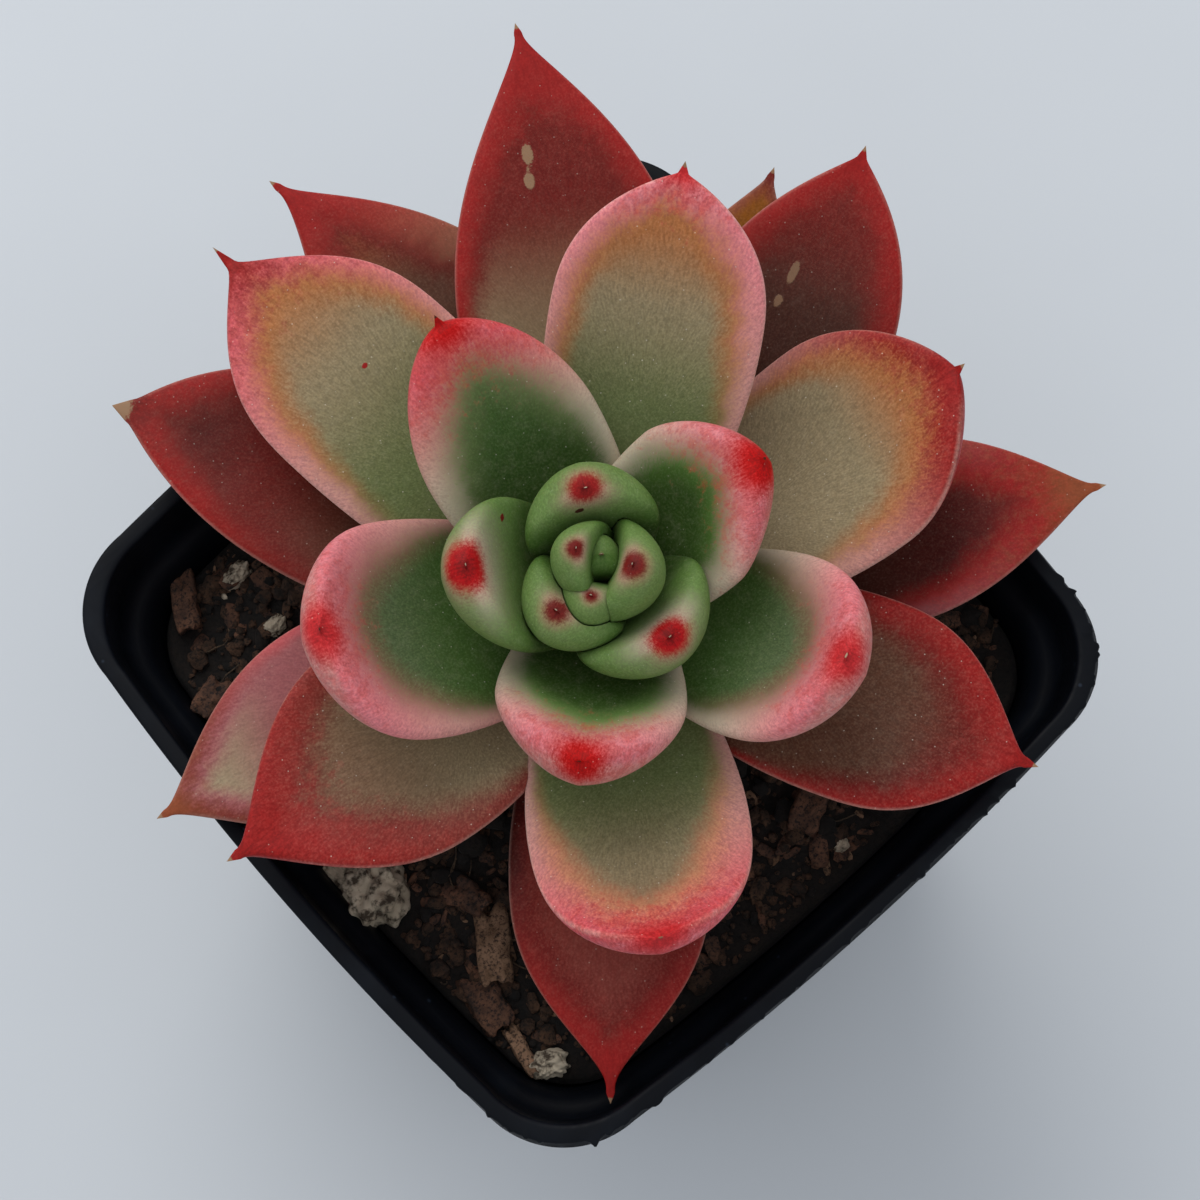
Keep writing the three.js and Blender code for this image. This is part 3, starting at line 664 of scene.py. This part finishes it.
def leaf_points(leaf, along, turn, grow=0):
    """Points on a leaf in millimetres: along runs from its foot to its tip, turn round its section."""
    steps = np.linspace(0, 1, 121)
    climb = np.radians(leaf["rise"] + leaf["curl"] * steps ** leaf["late"])
    sweep = np.radians(leaf["swing"]) * steps ** even_curl
    heading = np.stack([np.cos(climb) * np.cos(sweep), np.cos(climb) * np.sin(sweep), np.sin(climb)], axis=1)
    hops = (heading[1:] + heading[:-1]) / 2 * (leaf["length"] + 2 * grow) / 120
    midrib = np.concatenate([[[0, 0, 0]], np.cumsum(hops, axis=0)]) + [leaf["start"], 0, 0]
    place = np.stack([np.interp(along, steps, midrib[:, i]) for i in range(3)], axis=1)
    forward = np.stack([np.interp(along, steps, heading[:, i]) for i in range(3)], axis=1)
    forward /= np.linalg.norm(forward, axis=1, keepdims=True)
    swept = np.interp(along, steps, sweep)
    side = np.stack([-np.sin(swept), np.cos(swept), np.zeros_like(swept)], axis=1)
    roll = np.radians(leaf["twist"]) * (0.3 + 0.7 * along)[:, None]
    side = side * np.cos(roll) + np.cross(forward, side) * np.sin(roll)
    up = np.cross(forward, side)

    half_width, thickness, margin_lift = section_of(leaf, along, grow)
    across = np.cos(turn)
    full = np.sqrt(np.maximum(0, 1 - np.abs(across) ** 3))
    keeled = full + (1 - np.abs(across) - full) * leaf["keel"]
    rise = np.where(np.sin(turn) >= 0, leaf["share"] * full, (leaf["share"] - 1) * keeled)
    place += side * (half_width * across)[:, None]
    place += up * (thickness * rise + margin_lift * across ** 2)[:, None]
    azimuth = math.radians(leaf["azimuth"])
    x = place[:, 0] * math.cos(azimuth) - place[:, 1] * math.sin(azimuth)
    y = place[:, 0] * math.sin(azimuth) + place[:, 1] * math.cos(azimuth)
    return np.stack([x, y, place[:, 2] + leaf["height"]], axis=1) + crown


def leaf_ball(name, leaf, around, rings, grow=0):
    """A ball drawn out into the leaf, and the place of its vertices along and round the leaf."""
    bpy.ops.object.select_all(action="DESELECT")
    bpy.ops.mesh.primitive_uv_sphere_add(segments=around, ring_count=rings, radius=1)
    piece = bpy.context.object
    piece.name = piece.data.name = name
    ball = np.zeros(len(piece.data.vertices) * 3)
    piece.data.vertices.foreach_get("co", ball)
    ball = ball.reshape(-1, 3)
    along = np.clip((1 + ball[:, 2]) / 2, 0, 1)
    turn = np.arctan2(ball[:, 1], ball[:, 0])
    points = leaf_points(leaf, along, turn, grow)
    if grow == 0:
        points = weathered(points, along, turn)
    piece.data.vertices.foreach_set("co", (points * MM).reshape(-1))
    face_outward(piece)
    return piece, points, along, turn


def weathered(points, along, turn):
    """The leaf's points, shifted up or down by the soft unevenness of its faces."""
    inward = 1 - np.cos(turn) ** 2
    wave = np.array([noise.noise(Vector(point) * 0.16) + 0.5 * noise.noise(Vector(point) * 0.4)
                     for point in points])
    shifted = points.copy()
    shifted[:, 2] += np.sign(np.sin(turn)) * 0.16 * wave * inward * smooth(1 - along, 0, 0.1)
    return shifted


# The kinds of value that a vertex keeps, and how many numbers each has.
kinds = {"FLOAT": ("value", 1), "FLOAT_COLOR": ("color", 4), "FLOAT_VECTOR": ("vector", 3)}


def store(piece, name, kind, values):
    """Keeps a value for each vertex under a name that the leaf's skin reads."""
    layer = piece.data.attributes.new(name, kind, "POINT")
    layer.data.foreach_set(kinds[kind][0], np.asarray(values, dtype=np.float32).reshape(-1))


def fill_in(piece):
    """Gives each vertex that a cut made the values of the nearest one that the leaf had before."""
    count = len(piece.data.vertices)
    own = np.zeros(count)
    piece.data.attributes["own"].data.foreach_get("value", own)
    kept = np.flatnonzero(own > 0.5)
    near = kdtree.KDTree(len(kept))
    for index in kept:
        near.insert(piece.data.vertices[index].co, index)
    near.balance()
    source = np.arange(count)
    for index in np.flatnonzero(own <= 0.5):
        source[index] = near.find(piece.data.vertices[index].co)[1]
    for layer in piece.data.attributes:
        if layer.domain == "POINT" and layer.data_type in kinds and layer.name != "position":
            key, size = kinds[layer.data_type]
            values = np.zeros(count * size, dtype=np.float32)
            layer.data.foreach_get(key, values)
            layer.data.foreach_set(key, values.reshape(count, size)[source].reshape(-1))


def paint(piece, leaf, points, along, turn):
    """Stores what the skin reads: its colours, and how far the band, spot, tip and marks are."""
    across = np.cos(turn)
    rim_along = np.linspace(0, 1, 240)
    left = leaf_points(leaf, rim_along, np.zeros(240))
    right = leaf_points(leaf, rim_along, np.full(240, math.pi))
    inset = np.full(len(points), 1e9)
    for point in np.concatenate([left, right]):
        inset = np.minimum(inset, np.linalg.norm(points - point, axis=1))
    tip = leaf_points(leaf, np.array([1.0]), np.array([0.0]))[0]
    reach = np.linalg.norm(points - tip, axis=1)

    side_width, tip_width = leaf["band"]
    width = side_width + (tip_width - side_width) * smooth(along, 0.35, 0.9)
    width *= 1 + leaf["lean"] * across
    band = inset / width
    # Near the heart the band is a ring round the tip, and the margins below it are green.
    if leaf["age"] in ("bud", "young"):
        band = np.minimum(reach / tip_width, 3)

    def coats(*names):
        """Each pigment's colour, once for every vertex."""
        return [np.broadcast_to(linear(pigment[name]), (len(points), 4)) for name in names]

    foot, middle, top = coats(*leaf["flesh"])
    flesh = blend(blend(foot, middle, smooth(along, 0.4, 0.7)), top, smooth(along, 0.65, 0.88))
    side, end, glow, back = coats(*leaf["trim"], leaf["glow"], leaf["back"])
    trim = blend(side, end, smooth(along, 0.45, 0.9))
    glow = blend(flesh, glow, smooth(along, 0.3, 0.65))
    below = 0.75 * smooth(-np.sin(turn), 0.05, 0.6)
    for name, coat in (("flesh", flesh), ("glow", glow), ("trim", trim)):
        store(piece, name, "FLOAT_COLOR", blend(coat, back, below))
    spot_reach, spot_colour = leaf["spot"]
    dry_reach, dry_colour = leaf["dry"]
    keys = ("spot_colour", "dry_colour", "mark_colour")
    for name, coat in zip(keys, coats(spot_colour, dry_colour, leaf["mark_colour"])):
        store(piece, name, "FLOAT_COLOR", coat)
    lengths = {"own": np.ones(len(points)), "band": band, "inset": inset, "spot": reach / spot_reach,
               "dry": reach / dry_reach}
    for name, values in lengths.items():
        store(piece, name, "FLOAT", values)
    half_width, _, _ = section_of(leaf, along, 0)
    sheet = np.stack([half_width * across, along * leaf["length"], np.sin(turn)], axis=1)
    store(piece, "sheet", "FLOAT_VECTOR", sheet - [0, 0.35 * leaf["length"], 0])
    nearest = np.full((len(points), 3), 9.0)
    for mark_along, mark_across, long, broad in leaf["marks"]:
        place_across = section_of(leaf, np.array([mark_along]), 0)[0][0] * mark_across
        offset = (sheet - [place_across, mark_along * leaf["length"], 1]) / [broad, long, 1]
        closer = np.linalg.norm(offset, axis=1) < np.linalg.norm(nearest, axis=1)
        nearest[closer] = offset[closer]
    # Between two marks the offsets would cancel out and draw a third, so they lose their sign.
    if len(leaf["marks"]) > 1:
        nearest[:, 1] = np.abs(nearest[:, 1])
    store(piece, "mark", "FLOAT_VECTOR", nearest)


def leaf_skin(name, feather, mottle, blotch, sunburn, dust, glint, edge, core):
    """The waxy skin of a leaf. feather frays the edges of the band and the spot, mottle is its grain,
    blotch how far the band wanders, sunburn how red the blotches round the tip are, dust the wax on
    it, glint its pale wax specks, painted bright as glints, edge how pale its thin margin is, partly
    its own pale rim and partly a painted highlight where the margin catches the light, and core how
    dark the middle of its spot is."""
    material = new_material(name)
    tree = material.node_tree
    place = add_node(tree, "TexCoord").outputs["Object"]
    field = {key: add_node(tree, "Attribute", attribute_name=key)
             for key in ("flesh", "glow", "trim", "band", "inset", "spot", "spot_colour", "dry",
                         "dry_colour", "mark", "mark_colour", "sheet")}

    # Rows of cells fan out from the leaf's middle, about 0.15 mm apart at its margin.
    sheet = field["sheet"].outputs["Vector"]
    ray = add_node(tree, "VectorMath", {0: sheet}, operation="NORMALIZE")
    fan = add_node(tree, "VectorMath", {0: ray, "Scale": 60}, operation="SCALE")
    slow = add_node(tree, "VectorMath", {0: sheet, "Scale": 1.1}, operation="SCALE")
    rows = add_node(tree, "VectorMath", {0: fan, 1: slow}, operation="ADD")
    streak = add_node(tree, "TexNoise", {"Vector": rows, "Scale": 1, "Detail": 1})
    cell = add_node(tree, "TexNoise", {
        "Vector": place, "Scale": pattern_scale(0.22), "Detail": 1, "Roughness": 0.6})
    patch = add_node(tree, "TexNoise", {
        "Vector": place, "Scale": pattern_scale(2.4), "Detail": 4, "Roughness": 0.62})
    film = add_node(tree, "TexNoise", {
        "Vector": place, "Scale": pattern_scale(1.1), "Detail": 4, "Roughness": 0.7})
    fleck = add_node(tree, "TexVoronoi", {"Vector": place, "Scale": pattern_scale(0.9)})
    # The band and the spot are frayed by the cells and their rows, and wander with the patches.
    shift = -feather - blotch / 2
    for pattern, amount in ((streak, feather), (cell, feather), (patch, blotch)):
        shift = add_node(tree, "Math", {0: pattern, 1: amount, 2: shift}, operation="MULTIPLY_ADD")
    band = add_node(tree, "Math", {0: field["band"].outputs["Fac"], 1: shift}, operation="ADD")
    spot = add_node(tree, "Math", {0: field["spot"].outputs["Fac"], 1: shift}, operation="ADD")
    # The sun's flush breaks up into blotches away from the tip.
    faded = add_node(tree, "Math", {0: field["spot"].outputs["Fac"], 1: 0.35, 2: 1.5},
                     operation="MULTIPLY_ADD")
    flush = add_node(tree, "Math", {0: band, 1: 0.35, 2: faded}, operation="MULTIPLY_ADD")
    flush = add_node(tree, "Math", {0: film, 1: -4, 2: flush}, operation="MULTIPLY_ADD")
    coat = field["flesh"].outputs["Color"]
    for value, start, end, strength, colour in [
            (band, 2.4, 0.9, 1, field["glow"].outputs["Color"]),
            (band, 1.5, 0.2, 1, field["trim"].outputs["Color"]),
            # The thin pale margin: partly the leaf's own pale rim, partly a painted highlight where it
            # catches the light.
            (field["inset"].outputs["Fac"], 0.5, 0.05, edge, linear("#d8b4a4")),
            (flush, 0.9, -0.2, sunburn, field["spot_colour"].outputs["Color"]),
            (cell, 0.4, 0.85, mottle * 0.25, linear("#bdb59a")),
            (film, 0.45, 0.72, dust, linear("#b9b09a")),
            (spot, 1.8, 1.1, core * 0.45, linear("#b0706a")),
            (spot, 1.6 - 0.4 * core, 0.45 + 0.4 * core, 1, field["spot_colour"].outputs["Color"]),
            (spot, 0.75, 0.2, core, linear("#420a07")),
            # Pale wax specks, painted bright as glints of light.
            (fleck, 0.1, 0.03, glint, linear("#d9d3c4"))]:
        share = add_node(tree, "MapRange", {
            "Value": value, "From Min": start, "From Max": end, "To Max": strength},
            interpolation_type="SMOOTHSTEP")
        coat = add_node(tree, "Mix", {FACTOR: share, UNDER: coat, OVER: colour},
                        data_type="RGBA").outputs[MIXED]
    weave = add_node(tree, "Math", {0: cell, 1: streak}, operation="ADD")
    grain = add_node(tree, "MapRange", {
        "Value": weave, "From Min": 0.7, "From Max": 1.3, "To Min": 1 - mottle,
        "To Max": 1 + mottle})
    coat = add_node(tree, "HueSaturation", {"Value": grain, "Color": coat})

    # The dried point and the scars lie over all that, with torn edges.
    offset = add_node(tree, "VectorMath", {0: field["mark"].outputs["Vector"]}, operation="LENGTH")
    worn = {}
    for key, distance in (("dry", field["dry"].outputs["Fac"]), ("mark", offset.outputs["Value"])):
        torn = add_node(tree, "Math", {0: cell, 1: 0.6, 2: distance}, operation="MULTIPLY_ADD")
        worn[key] = add_node(tree, "MapRange", {
            "Value": torn, "From Min": 1.45, "From Max": 1.15},
            interpolation_type="SMOOTHSTEP")
        coat = add_node(tree, "Mix", {
            FACTOR: worn[key], UNDER: coat, OVER: field[key + "_colour"].outputs["Color"]},
            data_type="RGBA").outputs[MIXED]
    height = add_node(tree, "Math", {0: worn["mark"], 1: 5, 2: cell}, operation="MULTIPLY_ADD")
    relief = add_node(tree, "Bump", {"Height": height, "Strength": 0.4, "Distance": 0.025 * MM})
    shader = add_node(tree, "BsdfPrincipled", {
        "Base Color": coat, "Roughness": 0.48, "Normal": relief,
        "IOR": 1.43, "Specular IOR Level": 0.14, "Subsurface Weight": 0.1,
        "Subsurface Radius": (1.0, 0.45, 0.25), "Subsurface Scale": 1.0 * MM})
    add_node(tree, "OutputMaterial", {"Surface": shader})
    return material


# The skin's wax is thin on the young leaves; the older ones are dustier, more mottled and blotched.
skins = {
    "bud": leaf_skin("waxy bud leaf skin", feather=0.2, mottle=0.15, blotch=0.2, sunburn=0, dust=0.04,
                     glint=0.1, edge=0, core=0.65),
    "young": leaf_skin("waxy young leaf skin", feather=0.3, mottle=0.17, blotch=0.3, sunburn=0,
                       dust=0.05, glint=0.15, edge=0, core=0.65),
    "heart": leaf_skin("waxy heart leaf skin", feather=0.5, mottle=0.19, blotch=0.4, sunburn=0.45,
                       dust=0.05, glint=0.3, edge=0, core=0.3),
    "outer": leaf_skin("waxy outer leaf skin", feather=0.5, mottle=0.22, blotch=1.1, sunburn=0.55,
                       dust=0.04, glint=0.5, edge=0.35, core=0.1),
    "skirt": leaf_skin("waxy skirt leaf skin", feather=0.4, mottle=0.14, blotch=1.1, sunburn=0.35,
                       dust=0.02, glint=0.25, edge=0.25, core=0)}


def keep_largest_body(piece):
    """Deletes the slivers that a cut left beside the leaf."""
    shape = bmesh.new()
    shape.from_mesh(piece.data)
    left_over = set(shape.verts)
    bodies = []
    while left_over:
        body = {left_over.pop()}
        edge = list(body)
        while edge:
            linked = {e.other_vert(v) for v in edge for e in v.link_edges}
            edge = list(linked & left_over)
            left_over -= linked
            body |= set(edge)
        bodies.append(body)
    largest = max(bodies, key=len)
    slivers = [vertex for body in bodies if body is not largest for vertex in body]
    bmesh.ops.delete(shape, geom=slivers, context="VERTS")
    shape.to_mesh(piece.data)
    shape.free()


# Each leaf gives way to the younger leaves that lie over it, so no two pass through each other.
clearance = 0.1
taken = None
for order, entry in enumerate(leaves):
    leaf = {**plain_leaf, **entry}
    leaf["azimuth"] = first_azimuth + golden_angle * order + leaf["off"]
    leaf["height"] = -step_down * order
    number = f"{order + 1:02d}"
    blade, points, along, turn = leaf_ball("blade_" + number, leaf, leaf_around, leaf_along)
    paint(blade, leaf, points, along, turn)
    cutter, *_ = leaf_ball("cutter_" + number, leaf, leaf_around // 2, leaf_along // 2, clearance)
    if taken:
        apply_modifier(blade, "BOOLEAN", operation="DIFFERENCE", solver="MANIFOLD", object=taken)
        apply_modifier(taken, "BOOLEAN", operation="UNION", solver="MANIFOLD", object=cutter)
        bpy.data.objects.remove(cutter)
    else:
        taken = cutter
    keep_largest_body(blade)
    select_only(blade)
    bpy.ops.object.shade_smooth_by_angle(angle=math.radians(45))
    fill_in(blade)
    blade.data.materials.clear()
    blade.data.materials.append(skins[leaf["age"]])
    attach(blade, "root")
    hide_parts("leaf_" + number)
bpy.data.objects.remove(taken)


# The stage
# A pale painted table top, matt and cool grey, that the pot stands on.
bpy.ops.object.select_all(action="DESELECT")
bpy.ops.mesh.primitive_plane_add(size=6, location=(0, 0, 0))
floor = bpy.context.object
floor.name = "table_top"
paint_coat = new_material("matt pale paint")
tree = paint_coat.node_tree
place = add_node(tree, "TexCoord").outputs["Object"]
cloud = add_node(tree, "TexNoise", {"Vector": place, "Scale": pattern_scale(60), "Detail": 3})
tone = add_node(tree, "Mix", {
    FACTOR: cloud, UNDER: linear("#c4c9ce"), OVER: linear("#cbd0d5")}, data_type="RGBA")
shader = add_node(tree, "BsdfPrincipled", {"Base Color": tone.outputs[MIXED], "Roughness": 0.85})
add_node(tree, "OutputMaterial", {"Surface": shader})
floor.data.materials.append(paint_coat)

# The light: a pale room all round, and one large soft window light from above.
world = bpy.data.worlds.new("pale room")
bpy.context.scene.world = world
world.use_nodes = True
world.node_tree.nodes["Background"].inputs["Color"].default_value = linear("#eaedf2")
world.node_tree.nodes["Background"].inputs["Strength"].default_value = 0.86
window = bpy.data.lights.new("window", "AREA")
window.shape = "DISK"
window.size = 0.7
window.energy = 3.6
window.color = (1.0, 0.98, 0.95)
lamp = bpy.data.objects.new("window", window)
lamp.location = (0.18, 0.55, 0.62)
lamp.rotation_euler = Vector(lamp.location).to_track_quat("Z", "Y").to_euler()
bpy.context.collection.objects.link(lamp)
bpy.context.scene.view_settings.view_transform = "Standard"

# The camera: nearly overhead, with one corner of the pot towards it. Azimuth 0 looks along +Y.
aim = Vector((2.74, 1.52, 70)) * MM
camera_distance = 273.6 * MM
camera_azimuth = math.radians(-38.9)
camera_elevation = math.radians(75.95)
camera_roll = math.radians(-2.8)
camera_data = bpy.data.cameras.new("camera")
camera_data.lens = 87
camera_data.sensor_width = 36
camera = bpy.data.objects.new("camera", camera_data)
bpy.context.collection.objects.link(camera)
back = Vector((math.cos(camera_elevation) * math.sin(camera_azimuth),
               -math.cos(camera_elevation) * math.cos(camera_azimuth), math.sin(camera_elevation)))
turned = back.to_track_quat("Z", "Y").to_matrix().to_4x4()
camera.matrix_world = Matrix.Translation(aim + back * camera_distance) @ turned @ Matrix.Rotation(
    camera_roll, 4, "Z")
bpy.context.scene.camera = camera
